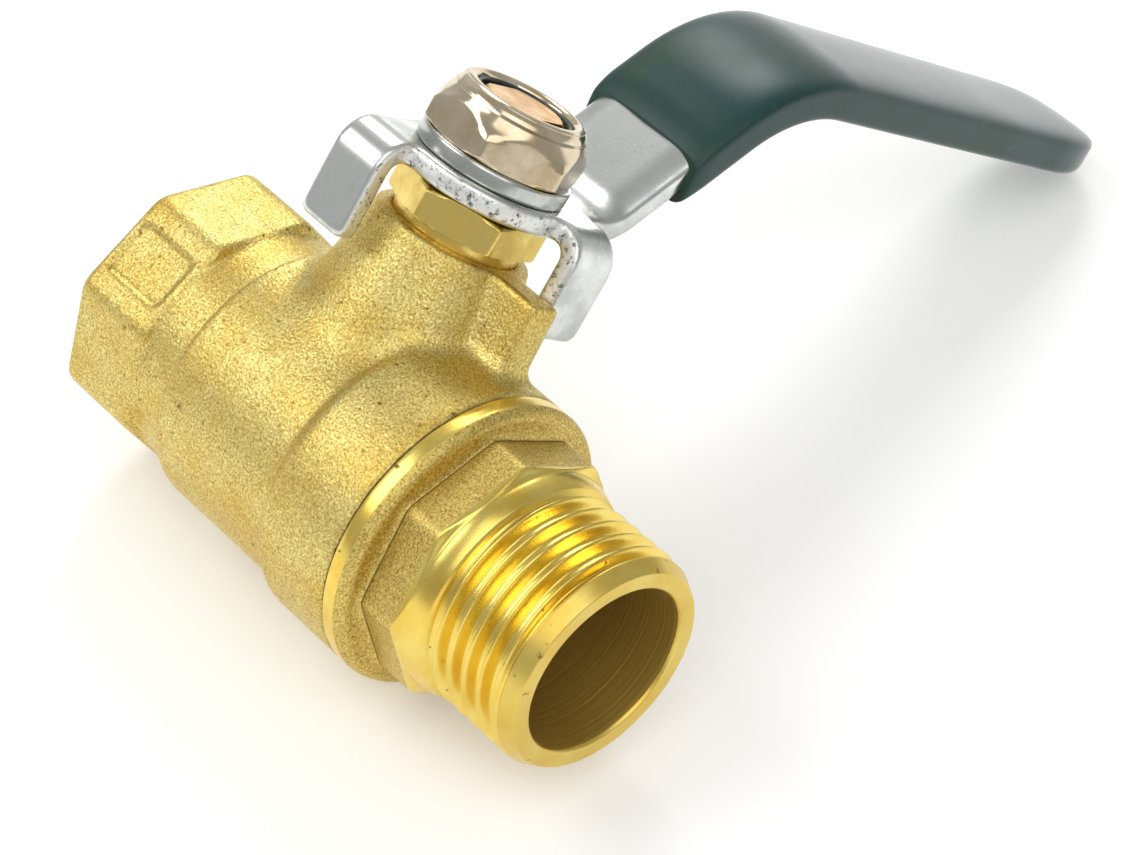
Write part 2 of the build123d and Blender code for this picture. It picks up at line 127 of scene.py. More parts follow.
def skin_of(field, low, high, step):
    """Skin of a field's zero level on a regular grid, as one vertex per crossed cell.

    Each vertex is the mean of the level's crossings of its cell's edges, then is moved along the
    field's slope onto the level itself. Each crossed grid edge joins the four cells around it.
    """
    low, high = np.array(low, float), np.array(high, float)
    count = np.ceil((high - low) / step).astype(int) + 1
    axes = [low[i] + step * np.arange(count[i]) for i in range(3)]
    value = field(*np.meshgrid(*axes, indexing="ij"))
    inside = value < 0
    corner_at = np.array([(i, j, k) for i in (0, 1) for j in (0, 1) for k in (0, 1)])
    cells = count - 1
    total = sum(
        inside[i:i + cells[0], j:j + cells[1], k:k + cells[2]].astype(int) for i, j, k in corner_at
    )
    where = np.argwhere((total > 0) & (total < 8))
    number = np.full(cells, -1)
    number[tuple(where.T)] = np.arange(len(where))
    corners = where[:, None, :] + corner_at[None]
    at = value[tuple(np.moveaxis(corners, -1, 0))]
    spot, hits = np.zeros((len(where), 3)), np.zeros(len(where))
    for a in range(8):
        for b in range(a + 1, 8):
            if np.abs(corner_at[a] - corner_at[b]).sum() != 1:
                continue
            crossed = (at[:, a] < 0) != (at[:, b] < 0)
            share = np.where(crossed, at[:, a] / np.where(crossed, at[:, a] - at[:, b], 1), 0)
            path = corner_at[a] + share[:, None] * (corner_at[b] - corner_at[a])
            spot += np.where(crossed[:, None], path, 0)
            hits += crossed
    points = low + step * (where + spot / hits[:, None])
    for _ in range(2):
        points = points - settle(field, points, step)
    quads = []
    for axis in range(3):
        u, v = (axis + 1) % 3, (axis + 2) % 3
        first, second = [slice(None)] * 3, [slice(None)] * 3
        first[axis], second[axis] = slice(0, -1), slice(1, None)
        start, end = inside[tuple(first)], inside[tuple(second)]
        edge = np.argwhere(start != end)
        edge = edge[np.all((edge[:, [u, v]] > 0) & (edge[:, [u, v]] < cells[[u, v]]), axis=1)]
        solid_first = start[tuple(edge.T)]
        ring = []
        for du, dv in ((1, 1), (0, 1), (0, 0), (1, 0)):
            cell = edge.copy()
            cell[:, u] -= du
            cell[:, v] -= dv
            ring.append(number[tuple(cell.T)])
        ring = np.stack(ring, axis=1)
        quads.append(np.where(solid_first[:, None], ring, ring[:, ::-1]))
    return points, np.concatenate(quads)


def turned(along, radius, about="pipe"):
    """Points of a turned or many-sided form: a place along its axis and a radius for each row and angle."""
    across, up = radius * np.cos(ANGLE), radius * np.sin(ANGLE)
    along = np.broadcast_to(along, across.shape)
    parts = (along, across, up) if about == "pipe" else (STEM_X + across, up, along)
    return np.stack(parts, axis=-1).reshape(-1, 3)


def flats(across_flats, sides, turn, corner):
    """Radius of a regular polygon at each angle, with corners cut down softly to a corner radius."""
    part = 2 * np.pi / sides
    local = np.mod(ANGLE - np.radians(turn), part) - part / 2
    return soft_min(across_flats / 2 / np.cos(local), corner, 0.3)


def rounded_path(corners):
    """Profile through (place, radius, rounding) corners: straight runs joined by parabolas.

    Each corner is cut by a quadratic curve that starts and ends its rounding's length away, and each run
    is divided about once a millimetre.
    """
    spots = np.array([corner[:2] for corner in corners], float)
    t = np.linspace(0, 1, 8)[:, None]
    rows = []
    for i, here in enumerate(spots):
        back, ahead = spots[i - 1] - here, spots[(i + 1) % len(spots)] - here
        a = here + back / np.linalg.norm(back) * corners[i][2]
        b = here + ahead / np.linalg.norm(ahead) * corners[i][2]
        rows.append((1 - t) ** 2 * a + 2 * t * (1 - t) * here + t * t * b)
    path = np.concatenate(rows)
    filled = []
    for a, b in zip(path, np.roll(path, -1, axis=0)):
        parts = max(1, int(np.linalg.norm(b - a)))
        filled.append(a + (b - a) * np.linspace(0, 1, parts, endpoint=False)[:, None])
    return np.concatenate(filled)


# Materials, whose pattern scales are counts per millimetre divided by MM


def linear(code):
    """Linear colour of an sRGB hex code: the low part is a line, the rest a power of 2.4."""
    srgb = np.array([int(code[i:i + 2], 16) for i in (1, 3, 5)]) / 255
    rgb = np.where(srgb <= 0.04045, srgb / 12.92, ((srgb + 0.055) / 1.055) ** 2.4)
    return (*rgb.tolist(), 1.0)


def add_node(tree, kind, inputs=None, **settings):
    """Adds one node with its settings; each input is a value, or an output socket to link."""
    node = tree.nodes.new(kind)
    for key, value in settings.items():
        setattr(node, key, value)
    for key, value in (inputs or {}).items():
        if isinstance(value, bpy.types.NodeSocket):
            tree.links.new(value, node.inputs[key])
        else:
            node.inputs[key].default_value = value
    return node


def start_material(name):
    """An empty node material with its output and its Object coordinates."""
    material = bpy.data.materials.new(name)
    material.use_nodes = True
    tree = material.node_tree
    tree.nodes.clear()
    output = add_node(tree, "ShaderNodeOutputMaterial")
    place = add_node(tree, "ShaderNodeTexCoord").outputs["Object"]
    return material, tree, output, place


def shot_blasted_brass():
    """Forged brass, shot-blasted: tiny dents that glitter, pale gold on their rims and deep gold inside."""
    material, tree, output, place = start_material("shot_blasted_brass")
    # Shot dents are about 0.1 mm; they are drawn 0.2 mm wide, 5.2 to a millimetre, so that they show
    dents = add_node(tree, "ShaderNodeTexNoise", {
        "Vector": place, "Scale": 5.2 / MM, "Detail": 3.0, "Roughness": 0.7,
    }).outputs["Fac"]
    # The shot's own round prints, 0.3 mm apart
    cells = add_node(tree, "ShaderNodeTexVoronoi", {"Vector": place, "Scale": 3.3 / MM})
    # Patches of scale from forging, 4 to 10 mm across
    patches = add_node(tree, "ShaderNodeTexNoise", {
        "Vector": place, "Scale": 0.17 / MM, "Detail": 5.0, "Roughness": 0.62,
    })
    patch_map = add_node(tree, "ShaderNodeMapRange", {
        "Value": patches.outputs["Fac"], "From Min": 0.4, "From Max": 0.68,
    })
    grain_map = add_node(tree, "ShaderNodeMapRange", {"Value": dents, "From Min": 0.32, "From Max": 0.68})
    tone = add_node(tree, "ShaderNodeMix", {
        "Factor": patch_map.outputs["Result"], "A": linear("#FBF0A0"), "B": linear("#EFD576"),
    }, data_type="RGBA")
    grain = add_node(tree, "ShaderNodeMix", {
        "Factor": grain_map.outputs["Result"], "A": linear("#AC8736"), "B": tone.outputs[2],
    }, data_type="RGBA")
    # Scattered pits about 0.4 mm wide, the peaks of a pattern of 1.3 to a millimetre
    pits = add_node(tree, "ShaderNodeTexNoise", {"Vector": place, "Scale": 1.3 / MM, "Detail": 2.0})
    pit_map = add_node(tree, "ShaderNodeMapRange", {
        "Value": pits.outputs["Fac"], "From Min": 0.68, "From Max": 0.75,
    })
    colour = add_node(tree, "ShaderNodeMix", {
        "Factor": pit_map.outputs["Result"], "A": grain.outputs[2], "B": linear("#8F7030"),
    }, data_type="RGBA")
    rough = add_node(tree, "ShaderNodeMapRange", {
        "Value": dents, "From Min": 0.3, "From Max": 0.7, "To Min": 0.56, "To Max": 0.34,
    })
    height = add_node(tree, "ShaderNodeMath", {0: dents, 1: cells.outputs["Distance"]}, operation="ADD")
    bump = add_node(tree, "ShaderNodeBump", {
        "Height": height.outputs[0], "Strength": 0.45, "Distance": 0.08 * MM,
    })
    shader = add_node(tree, "ShaderNodeBsdfPrincipled", {
        "Base Color": colour.outputs[2], "Metallic": 1.0, "Roughness": rough.outputs[0],
        "Normal": bump.outputs[0],
    })
    tree.links.new(shader.outputs[0], output.inputs[0])
    return material


def adapter_brass():
    """The same forging, cut on a lathe in places that its marks name.

    It has fine bright rings where 'turned' is 1, is dull where 'bored' is 1, and a painted shade line, dark
    brown, where its third mark is 1.
    """
    material, tree, output, place = start_material("forged_and_turned_brass")
    cut, bored, painted_shade_line = (
        add_node(tree, "ShaderNodeAttribute", attribute_name=mark).outputs["Fac"]
        for mark in ("turned", "bored", "painted_shade_line")
    )
    # The same dents as on the body, and patches of 4 mm
    dents = add_node(tree, "ShaderNodeTexNoise", {
        "Vector": place, "Scale": 5.2 / MM, "Detail": 3.0, "Roughness": 0.7,
    }).outputs["Fac"]
    patches = add_node(tree, "ShaderNodeTexNoise", {
        "Vector": place, "Scale": 0.24 / MM, "Detail": 4.0, "Roughness": 0.6,
    })
    # Tool marks run round the axis about 0.25 mm apart, so the pattern is stretched across the axis
    spun = add_node(tree, "ShaderNodeMapping", {"Vector": place, "Scale": (4.2 / MM, 0.06 / MM, 0.06 / MM)})
    rings = add_node(tree, "ShaderNodeTexNoise", {"Vector": spun.outputs[0], "Scale": 1.0, "Detail": 2.0})
    grain_map = add_node(tree, "ShaderNodeMapRange", {"Value": dents, "From Min": 0.32, "From Max": 0.68})
    patch_map = add_node(tree, "ShaderNodeMapRange", {
        "Value": patches.outputs["Fac"], "From Min": 0.38, "From Max": 0.7,
    })
    forged = add_node(tree, "ShaderNodeMix", {
        "Factor": grain_map.outputs["Result"], "A": linear("#9E782C"), "B": linear("#F5E188"),
    }, data_type="RGBA")
    clean = add_node(tree, "ShaderNodeMix", {
        "Factor": patch_map.outputs["Result"], "A": linear("#F2DA76"), "B": linear("#E8C456"),
    }, data_type="RGBA")
    # Nicks of handling, about 0.5 mm wide and far apart, the peaks of a pattern of 1 mm
    nicks = add_node(tree, "ShaderNodeTexNoise", {"Vector": place, "Scale": 1.0 / MM, "Detail": 3.0})
    nick_map = add_node(tree, "ShaderNodeMapRange", {
        "Value": nicks.outputs["Fac"], "From Min": 0.69, "From Max": 0.74,
    })
    bright = add_node(tree, "ShaderNodeMix", {
        "Factor": nick_map.outputs["Result"], "A": clean.outputs[2], "B": linear("#8A6C34"),
    }, data_type="RGBA")
    finished = add_node(tree, "ShaderNodeMix", {
        "Factor": cut, "A": forged.outputs[2], "B": bright.outputs[2],
    }, data_type="RGBA")
    # Painted shade: a dark brown line along the seam with the body and at the foot of the flats, where shade
    # falls
    with_painted_shade = add_node(tree, "ShaderNodeMix", {
        "Factor": painted_shade_line, "A": finished.outputs[2], "B": linear("#4A3714"),
    }, data_type="RGBA")
    colour = add_node(tree, "ShaderNodeMix", {
        "Factor": bored, "A": with_painted_shade.outputs[2], "B": linear("#B99A48"),
    }, data_type="RGBA")
    polish = add_node(tree, "ShaderNodeMix", {"Factor": cut, "A": 0.46, "B": 0.26})
    rough = add_node(tree, "ShaderNodeMix", {"Factor": bored, "A": polish.outputs[0], "B": 0.5})
    shine = add_node(tree, "ShaderNodeMix", {"Factor": bored, "A": 1.0, "B": 0.6})
    relief = add_node(tree, "ShaderNodeMix", {"Factor": cut, "A": dents, "B": rings.outputs["Fac"]})
    skin_depth = add_node(tree, "ShaderNodeMix", {"Factor": cut, "A": 0.55, "B": 0.12})
    depth = add_node(tree, "ShaderNodeMix", {"Factor": bored, "A": skin_depth.outputs[0], "B": 0.8})
    bump = add_node(tree, "ShaderNodeBump", {
        "Height": relief.outputs[0], "Strength": depth.outputs[0], "Distance": 0.08 * MM,
    })
    shader = add_node(tree, "ShaderNodeBsdfPrincipled", {
        "Base Color": colour.outputs[2], "Metallic": shine.outputs[0], "Roughness": rough.outputs[0],
        "Normal": bump.outputs[0],
    })
    tree.links.new(shader.outputs[0], output.inputs[0])
    return material


def plain_metal(name, pale, deep, smooth, rough, patches_per_mm, depth):
    """A plated or turned metal: two close tones in patches, gloss that wanders with them, light scratches."""
    material, tree, output, place = start_material(name)
    patches = add_node(tree, "ShaderNodeTexNoise", {
        "Vector": place, "Scale": patches_per_mm / MM, "Detail": 5.0, "Roughness": 0.6,
    }).outputs["Fac"]
    # Scratches 0.4 mm apart and 4 mm long, leaning across the piece
    drawn = add_node(tree, "ShaderNodeMapping", {
        "Vector": place, "Scale": (2.6 / MM, 0.24 / MM, 0.9 / MM), "Rotation": (0.3, 0.2, 0.6),
    })
    scratches = add_node(tree, "ShaderNodeTexNoise", {
        "Vector": drawn.outputs[0], "Scale": 1.0, "Detail": 2.0,
    })
    patch_map = add_node(tree, "ShaderNodeMapRange", {"Value": patches, "From Min": 0.36, "From Max": 0.66})
    colour = add_node(tree, "ShaderNodeMix", {
        "Factor": patch_map.outputs["Result"], "A": linear(pale), "B": linear(deep),
    }, data_type="RGBA")
    gloss = add_node(tree, "ShaderNodeMapRange", {
        "Value": patches, "From Min": 0.35, "From Max": 0.65, "To Min": smooth, "To Max": rough,
    })
    bump = add_node(tree, "ShaderNodeBump", {
        "Height": scratches.outputs["Fac"], "Strength": depth, "Distance": 0.04 * MM,
    })
    shader = add_node(tree, "ShaderNodeBsdfPrincipled", {
        "Base Color": colour.outputs[2], "Metallic": 1.0, "Roughness": gloss.outputs[0],
        "Normal": bump.outputs[0],
    })
    tree.links.new(shader.outputs[0], output.inputs[0])
    return material


def zinc_steel():
    """Bright zinc on pressed steel: cool grey gloss with fine scuffs.

    Where its mark 'sheared' is 1, the metal is torn and speckled.
    """
    material, tree, output, place = start_material("zinc_plated_steel")
    cut = add_node(tree, "ShaderNodeAttribute", attribute_name="sheared").outputs["Fac"]
    # Clouds in the plating, about 4 mm across
    cloud = add_node(tree, "ShaderNodeTexNoise", {
        "Vector": place, "Scale": 0.26 / MM, "Detail": 5.0, "Roughness": 0.6,
    }).outputs["Fac"]
    # Scuffs 0.4 mm apart and 4 mm long
    drawn = add_node(tree, "ShaderNodeMapping", {
        "Vector": place, "Scale": (2.4 / MM, 0.26 / MM, 0.7 / MM), "Rotation": (0.2, 0.4, 0.9),
    })
    scuffs = add_node(tree, "ShaderNodeTexNoise", {"Vector": drawn.outputs[0], "Scale": 1.0, "Detail": 3.0})
    # Torn metal on a sheared edge breaks up at about 0.7 mm and finer
    torn = add_node(tree, "ShaderNodeTexNoise", {
        "Vector": place, "Scale": 1.45 / MM, "Detail": 5.0, "Roughness": 0.72,
    }).outputs["Fac"]
    cloud_map = add_node(tree, "ShaderNodeMapRange", {"Value": cloud, "From Min": 0.38, "From Max": 0.66})
    face = add_node(tree, "ShaderNodeMix", {
        "Factor": cloud_map.outputs["Result"], "A": linear("#E4E6E2"), "B": linear("#C3C6C2"),
    }, data_type="RGBA")
    torn_map = add_node(tree, "ShaderNodeMapRange", {"Value": torn, "From Min": 0.36, "From Max": 0.46})
    edge = add_node(tree, "ShaderNodeMix", {
        "Factor": torn_map.outputs["Result"], "A": linear("#4A4B48"), "B": linear("#E9EAE6"),
    }, data_type="RGBA")
    colour = add_node(tree, "ShaderNodeMix", {
        "Factor": cut, "A": face.outputs[2], "B": edge.outputs[2],
    }, data_type="RGBA")
    gloss = add_node(tree, "ShaderNodeMapRange", {
        "Value": cloud, "From Min": 0.35, "From Max": 0.65, "To Min": 0.2, "To Max": 0.34,
    })
    rough = add_node(tree, "ShaderNodeMix", {"Factor": cut, "A": gloss.outputs[0], "B": 0.42})
    height = add_node(tree, "ShaderNodeMix", {"Factor": cut, "A": scuffs.outputs["Fac"], "B": torn})
    depth = add_node(tree, "ShaderNodeMix", {"Factor": cut, "A": 0.06, "B": 0.6})
    bump = add_node(tree, "ShaderNodeBump", {
        "Height": height.outputs[0], "Strength": depth.outputs[0], "Distance": 0.1 * MM,
    })
    shader = add_node(tree, "ShaderNodeBsdfPrincipled", {
        "Base Color": colour.outputs[2], "Metallic": 1.0, "Roughness": rough.outputs[0],
        "Normal": bump.outputs[0],
    })
    tree.links.new(shader.outputs[0], output.inputs[0])
    return material


def dipped_vinyl():
    """Soft PVC dip: dark green, faintly cloudy, satin skin with a dusty sheen and the odd small mark."""
    material, tree, output, place = start_material("dipped_green_vinyl")
    # Clouds about 8 mm across, a skin of 0.5 mm ripples, and marks of 1 mm
    cloud = add_node(tree, "ShaderNodeTexNoise", {
        "Vector": place, "Scale": 0.12 / MM, "Detail": 5.0, "Roughness": 0.6,
    }).outputs["Fac"]
    skin = add_node(tree, "ShaderNodeTexNoise", {
        "Vector": place, "Scale": 1.8 / MM, "Detail": 3.0, "Roughness": 0.6,
    })
    marks = add_node(tree, "ShaderNodeTexNoise", {"Vector": place, "Scale": 0.6 / MM, "Detail": 2.0})
    cloud_map = add_node(tree, "ShaderNodeMapRange", {"Value": cloud, "From Min": 0.35, "From Max": 0.68})
    mark_map = add_node(tree, "ShaderNodeMapRange", {
        "Value": marks.outputs["Fac"], "From Min": 0.66, "From Max": 0.74, "To Max": 0.14,
    })
    base = add_node(tree, "ShaderNodeMix", {
        "Factor": cloud_map.outputs["Result"], "A": linear("#063937"), "B": linear("#173B2E"),
    }, data_type="RGBA")
    colour = add_node(tree, "ShaderNodeMix", {
        "Factor": mark_map.outputs["Result"], "A": base.outputs[2], "B": linear("#5B6A52"),
    }, data_type="RGBA")
    gloss = add_node(tree, "ShaderNodeMapRange", {
        "Value": cloud, "From Min": 0.35, "From Max": 0.65, "To Min": 0.36, "To Max": 0.46,
    })
    bump = add_node(tree, "ShaderNodeBump", {
        "Height": skin.outputs["Fac"], "Strength": 0.12, "Distance": 0.08 * MM,
    })
    shader = add_node(tree, "ShaderNodeBsdfPrincipled", {
        "Base Color": colour.outputs[2], "Roughness": gloss.outputs[0], "Normal": bump.outputs[0],
        "IOR": 1.53, "Specular IOR Level": 0.42, "Sheen Weight": 1.0, "Sheen Roughness": 0.3,
    })
    tree.links.new(shader.outputs[0], output.inputs[0])
    return material


def soft_plastic(name, pale, deep, rough):
    """PTFE or nylon: waxy, two close tones in 2 mm clouds, a faint machined unevenness."""
    material, tree, output, place = start_material(name)
    cloud = add_node(tree, "ShaderNodeTexNoise", {
        "Vector": place, "Scale": 0.5 / MM, "Detail": 4.0,
    }).outputs["Fac"]
    colour = add_node(tree, "ShaderNodeMix", {
        "Factor": cloud, "A": linear(pale), "B": linear(deep),
    }, data_type="RGBA")
    bump = add_node(tree, "ShaderNodeBump", {"Height": cloud, "Strength": 0.1, "Distance": 0.05 * MM})
    shader = add_node(tree, "ShaderNodeBsdfPrincipled", {
        "Base Color": colour.outputs[2], "Roughness": rough, "Normal": bump.outputs[0],
    })
    tree.links.new(shader.outputs[0], output.inputs[0])
    return material


FORGED = shot_blasted_brass()
ADAPTER = adapter_brass()
ZINC = zinc_steel()
VINYL = dipped_vinyl()
NICKEL = plain_metal("nickel_plated_nut", "#E6D8BE", "#CDB996", 0.1, 0.2, 0.3, 0.05)
GLAND = plain_metal("turned_gland_brass", "#F2D87E", "#DFBF60", 0.22, 0.34, 0.42, 0.12)
STUD = plain_metal("turned_stem_brass", "#EFC58C", "#D9A664", 0.26, 0.4, 0.5, 0.14)
WASHER = plain_metal("zinc_plated_washer", "#C9CBC6", "#AEB1AC", 0.2, 0.32, 0.42, 0.08)
CHROME = plain_metal("chromed_ball", "#E4E4E2", "#D4D4D2", 0.06, 0.12, 0.2, 0.03)
PTFE = soft_plastic("ptfe", "#F0EFEA", "#E2E0D8", 0.5)
NYLON = soft_plastic("dark_nylon", "#1B2322", "#2A3230", 0.38)


# Forged body

NECK_X, SOCKET_END, SHOULDER_X, RAMP_X, BODY_END = 2.0, 9.1, 13.4, 28.9, 38.05
SOCKET_FLAT, NECK_R, BARREL_R, CHEST_R = 12.0, 11.75, 12.95, 13.95
BOSS_FOOT, BOSS_TOP, BOSS_R, BOSS_DRAFT = 5.0, 20.7, 7.2, np.radians(11)
LUG_FOOT, LUG_HALF, LUG_OUT, LUG_DRAFT = 8.0, 1.7, 12.3, 0.026
PANEL_TURN, PANEL_FLAT = np.radians(157.5), 11.55
PANEL_X, PANEL_LONG, PANEL_WIDE = 4.5, 3.4, 2.5
# Radius, start and end of each bore; those that run out of the body end far outside it
PIPE_BORES = (
    (10.75, -20.0, 10.6), (7.5, -20.0, 16.0), (10.75, 12.4, 17.6), (11.4, 15.55, 30.45), (12.15, 30.4, 60.0),
)
STEM_BORES = ((5.75, 4.8, 13.2), (4.45, 9.0, 15.0), (5.95, 14.2, 40.0))
BODY_STEP = 0.31


def forged_body(x, y, z):
    """Field of the forging: an eight-sided socket, neck, barrel and chest about the pipe axis, joined by soft
    blends to a drafted round boss and its stop lug; then the panel, the waterway, the ball chamber and the
    stem's passage are taken out of it. The last number of each soft_min and soft_max is its blend."""
    around = np.hypot(y, z)
    barrel = soft_max(around - BARREL_R, SHOULDER_X - x, 0.9)
    chest = soft_max(around - CHEST_R, RAMP_X - x, 1.5)
    neck = soft_max(around - NECK_R, NECK_X - x, 0.5)
    a, b, c, d = (np.abs(y * np.cos(t) + z * np.sin(t)) for t in np.radians([22.5, 67.5, 112.5, 157.5]))
    socket = soft_max(soft_max(a, b, 0.7), soft_max(c, d, 0.7), 0.7) - SOCKET_FLAT
    socket = soft_max(soft_max(socket, -x, 0.8), x - SOCKET_END, 0.9)
    trunk = soft_min(soft_min(barrel, chest, 0.9), soft_min(neck, socket, 0.4), 0.5)
    out = np.hypot(x - STEM_X, y)
    boss = (out - BOSS_R - (BOSS_TOP - z) * np.tan(BOSS_DRAFT)) * np.cos(BOSS_DRAFT)
    boss = np.maximum(boss, BOSS_FOOT - z)
    grow = (BOSS_TOP - z) * LUG_DRAFT
    lug = soft_max(np.abs(y) - LUG_HALF - grow, x - STEM_X - LUG_OUT - grow, 0.55)
    lug = np.maximum(lug, np.maximum(STEM_X - x, LUG_FOOT - z))
    upper = soft_max(soft_min(boss, lug, 0.8), z - BOSS_TOP, 0.5)
    body = soft_max(soft_min(trunk, upper, 1.5), x - BODY_END, 0.3)
    over = PANEL_FLAT - (y * np.cos(PANEL_TURN) + z * np.sin(PANEL_TURN))
    side = np.abs(z * np.cos(PANEL_TURN) - y * np.sin(PANEL_TURN)) - PANEL_WIDE
    panel = soft_max(soft_max(np.abs(x - PANEL_X) - PANEL_LONG, side, 0.8), over, 0.35)
    body = soft_max(body, -panel, 0.5)
    bores = [np.maximum.reduce([around - r, start - x, x - end]) for r, start, end in PIPE_BORES]
    bores += [np.maximum.reduce([out - r, start - z, z - end]) for r, start, end in STEM_BORES]
    return np.maximum(body, -np.minimum.reduce(bores))


points, quads = skin_of(forged_body, (-0.7, -14.8, -14.8), (38.8, 14.8, 21.6), BODY_STEP)
make_piece("forged_body", points, quads, FORGED, "valve", ["valve_body"])


# Pipe threads

PITCH = 1.814
MALE_ROOT, MALE_DEPTH, MALE_START = 9.32, 1.15, 47.27
FEMALE_CREST, FEMALE_DEPTH, FEMALE_START = 9.33, 1.1, 0.4
# Wrench flats: width across, number, turn in degrees and corner radius
WRENCH = (22.5, 8, 26.8, 12.12)
# Place and radius of rings along the adapter, from its spigot in the body to its bore
SPIGOT = ((31.4, 10.75), (31.4, 12.1), (37.9, 12.1), (38.07, 12.3))
JOINT_LINE = ((38.07, 13.7), (38.12, 13.86), (38.17, 13.9))
RIM = ((38.25, 13.93), (38.7, 13.95), (39.2, 13.95), (39.5, 13.94))
RIM_FRONT = ((39.62, 13.92), (39.85, 13.84), (40.1, 13.68), (40.3, 13.45), (40.42, 13.2))
END_FACE = (
    (57.7, 9.69), (57.77, 9.63), (57.8, 9.55), (57.8, 9.45), (57.8, 9.0), (57.8, 8.6), (57.8, 8.32),
    (57.78, 8.24), (57.7, 8.14), (57.55, 8.05), (57.4, 8.0),
)
BORE_R = 8.0
BORE_STEPS = (
    (44.35, 7.98), (44.25, 7.85), (44.2, 7.55), (44.0, 7.5), (40.0, 7.5), (33.7, 7.5), (33.6, 7.6),
    (33.6, 10.75),
)


def thread_height(x, start):
    """Share of a full thread at each place: a raised cosine of the turn count, sharpened at the crest."""
    turn = (x - start) / PITCH - ANGLE / (2 * np.pi)
    return (0.5 + 0.5 * np.cos(2 * np.pi * turn)) ** 2.0


def male_end():
    """Adapter as rings of radius round the pipe axis.

    In order: spigot, flange rim, eight flats run into the flange by a steep power curve, a steep turned
    front, a falling collar, a helical thread cut off by a cone, end face and bore.
    """
    octagon = flats(*WRENCH)
    place, radius, marks = [], [], {"turned": [], "bored": [], "painted_shade_line": []}

    def ring(x, r, is_turned, is_bored=0, is_painted_shade_line=0):
        place.append(np.full(COLUMNS, float(x)))
        radius.append(np.broadcast_to(r, (1, COLUMNS))[0])
        for key, value in zip(marks, (is_turned, is_bored, is_painted_shade_line)):
            marks[key].append(np.full(COLUMNS, float(value)))

    # The joint line's rings carry a painted shade line where the adapter meets the body
    for profile, *finish in ((SPIGOT, 1), (JOINT_LINE, 1, 0, 1), (RIM, 1), (RIM_FRONT, 0)):
        for x, r in profile:
            ring(x, r, *finish)
    # Flange face falling to the foot of the flats, with a painted shade line at the foot
    for t in np.linspace(0.1, 1, 11):
        ring(40.45 + 0.42 * t ** 2.5, octagon + (13.1 - octagon) * (1 - t) ** 1.3, 0, 0, t == 1)
    # Wrench flats
    for x in np.linspace(40.96, 44.4, 9):
        ring(x, octagon, 0)
    # Turned front and the collar behind the thread
    for x in np.linspace(44.5, 47.0, 22):
        past = np.clip(x - 45.2, 0, None)
        front = 12.16 - (x - 44.62) * 1.75
        collar = 11.16 - 0.07 * past - 0.12 * past ** 2
        ring(x, soft_min(octagon, soft_max(front, collar, 0.2), 0.1), np.clip((x - 44.55) / 0.1, 0, 1))
    # Thread, with its run-in at the collar and a plain lip before the cone
    for x in np.linspace(47.08, 57.62, 116):
        run_in = np.clip((x - 46.9) / 1.1, 0, 1)
        lip = np.clip((x - 55.6) / 0.8, 0, 1)
        cone = 10.4 - (x - 56.35) * 0.52
        crest = MALE_ROOT + MALE_DEPTH * thread_height(x, MALE_START)
        crest = crest + (1 - run_in) * (10.2 - crest) * 0.8
        crest = crest + (10.4 - crest) * lip
        ring(x, soft_min(crest, cone, 0.1), 1, 0.3 * np.clip((x - 56.2) / 0.2, 0, 1))
    # End face and bore
    for x, r in END_FACE:
        ring(x, r, 1, 0.3)
    for x in np.linspace(57.0, 44.6, 14):
        ring(x, BORE_R, 1, 1)
    for x, r in BORE_STEPS:
        ring(x, r, 1, 1)
    return np.array(place), np.array(radius), marks


def socket_thread():
    """Female thread as a closed ring: helical inner wall with a cone at the mouth, and a plain outer wall."""
    place, radius = [], []
    for x in np.linspace(0.12, 10.3, 96):
        run_out = np.clip((10.2 - x) / 1.2, 0, 1)
        wall = FEMALE_CREST + FEMALE_DEPTH * (1 - thread_height(x, FEMALE_START)) * run_out
        mouth = 10.62 - x * 1.1
        place.append(np.full(COLUMNS, x))
        radius.append(soft_max(wall, mouth, 0.1)[0])
    for x, r in ((10.5, 9.4), (10.58, 10.0), (10.58, 10.74), (5.0, 10.76), (0.1, 10.74)):
        place.append(np.full(COLUMNS, x))
        radius.append(np.full(COLUMNS, r))
    place = np.array(place)
    plain = np.zeros_like(place)
    return place, np.array(radius), {"turned": plain + 1, "bored": plain, "painted_shade_line": plain}


place, radius, marks = male_end()
make_piece("threaded_end", turned(place, radius), quad_grid(len(place), COLUMNS, True), ADAPTER,
           "valve", ["end_adapter"], marks)
place, radius, marks = socket_thread()
make_piece("socket_thread", turned(place, radius), quad_grid(len(place), COLUMNS, True), ADAPTER,
           "valve", (), marks)


# Gland, washer, nut and its insert, all about the stem

# The flats of a nut cut only its outside, which is wider than this
OUTSIDE_R = 5.99


def ring_piece(name, corners, material, body, nodes, sides=None):
    """Closed ring about the stem from a rounded profile of (height, radius, rounding) corners.

    sides gives a polygon (across flats, count, turn, corner radius) that cuts the radius down.
    """
    path = rounded_path(corners)
    radius = np.broadcast_to(path[:, 1:2], (len(path), COLUMNS))
    if sides:
        radius = np.where(radius > OUTSIDE_R, soft_min(radius, flats(*sides), 0.12), radius)
    points = turned(path[:, :1], radius, "stem")
    make_piece(name, points, quad_grid(len(path), COLUMNS, True), material, body, nodes, weld=True)


